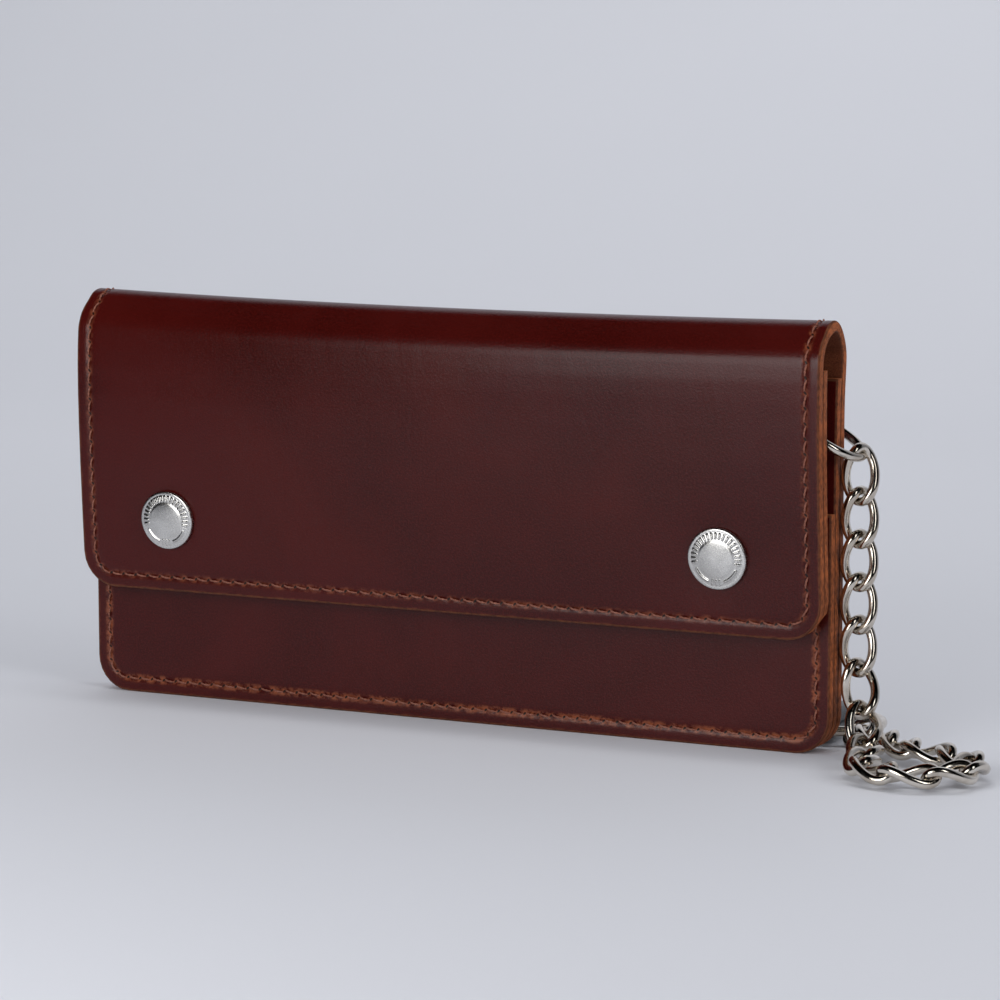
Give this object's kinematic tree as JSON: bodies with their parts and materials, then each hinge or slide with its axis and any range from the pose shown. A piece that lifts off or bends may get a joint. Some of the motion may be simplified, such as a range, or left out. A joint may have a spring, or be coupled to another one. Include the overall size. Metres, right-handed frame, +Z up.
{
  "type": "chain wallet",
  "caption": "Long fold-over leather wallet with two snaps and pockets, on a curb chain that ends in a snap-closed belt loop.",
  "frame": {"origin": "middle of the closed wallet's footprint on the surface it stands on", "axes": "+X along the wallet's width towards the chain, +Y to the back panel (the flap faces -Y), +Z up to the fold"},
  "size_m": [0.2483, 0.0696, 0.1044],
  "materials": {
    "shell_leather": "smooth pull-up oxblood leather, tan cut edges",
    "lining_leather": "suede flesh side, brown",
    "panel_leather": "smooth oxblood leather with scuffs",
    "stitching": "waxed twisted thread, reddish tan",
    "snap_caps": "satin nickel plate",
    "snap_inners": "dull nickel plate",
    "eyelet_metal": "nickel plate",
    "chain_metal": "polished nickel plate",
    "strap_leather": "black smooth strap leather"
  },
  "bodies": {
    "root": {"shell_back": "shell_leather", "inner_panel": "panel_leather", "front_panel": "panel_leather", "thread_back": "stitching", "thread_front": "stitching", "snap_stud_left": "snap_inners", "snap_stud_right": "snap_inners", "snap_post_left": "snap_inners", "snap_post_right": "snap_inners", "eyelet": "eyelet_metal", "eyelet_washer": "eyelet_metal", "wallet_ring": "chain_metal", "chain_hanging": "chain_metal", "chain_floor": "chain_metal", "end_ring": "chain_metal", "d_ring": "chain_metal", "loop_strap_base": "strap_leather", "loop_snap_stud": "snap_inners", "loop_snap_post": "snap_inners"},
    "fold": {"shell_fold": "shell_leather", "thread_fold": "stitching"},
    "flap": {"shell_flap": "shell_leather", "flap_lining": "lining_leather", "thread_flap": "stitching", "snap_cap_left": "snap_caps", "snap_cap_right": "snap_caps", "snap_socket_left": "snap_inners", "snap_socket_right": "snap_inners"},
    "belt_loop_tongue": {"loop_strap_tongue": "strap_leather", "loop_snap_cap": "snap_caps", "loop_snap_socket": "snap_inners"}
  },
  "joints": [
    {"name": "fold_roll", "type": "hinge", "parent": "root", "child": "fold", "pos_m": [0, 0.00658, 0.10128], "axis": [-1, 0, 0], "range_deg": [0, 90]},
    {"name": "flap_hinge", "type": "hinge", "parent": "fold", "child": "flap", "pos_m": [0, -0.00658, 0.10128], "axis": [-1, 0, 0], "range_deg": [0, 90]},
    {"name": "belt_loop_tongue_hinge", "type": "hinge", "parent": "root", "child": "belt_loop_tongue", "pos_m": [0.01574, 0.02457, 0.0092], "axis": [0, -1, 0], "range_deg": [0, 150]}
  ],
  "couplings": [
    {"joint": "flap_hinge", "follows": "fold_roll", "ratio": 1}
  ]
}
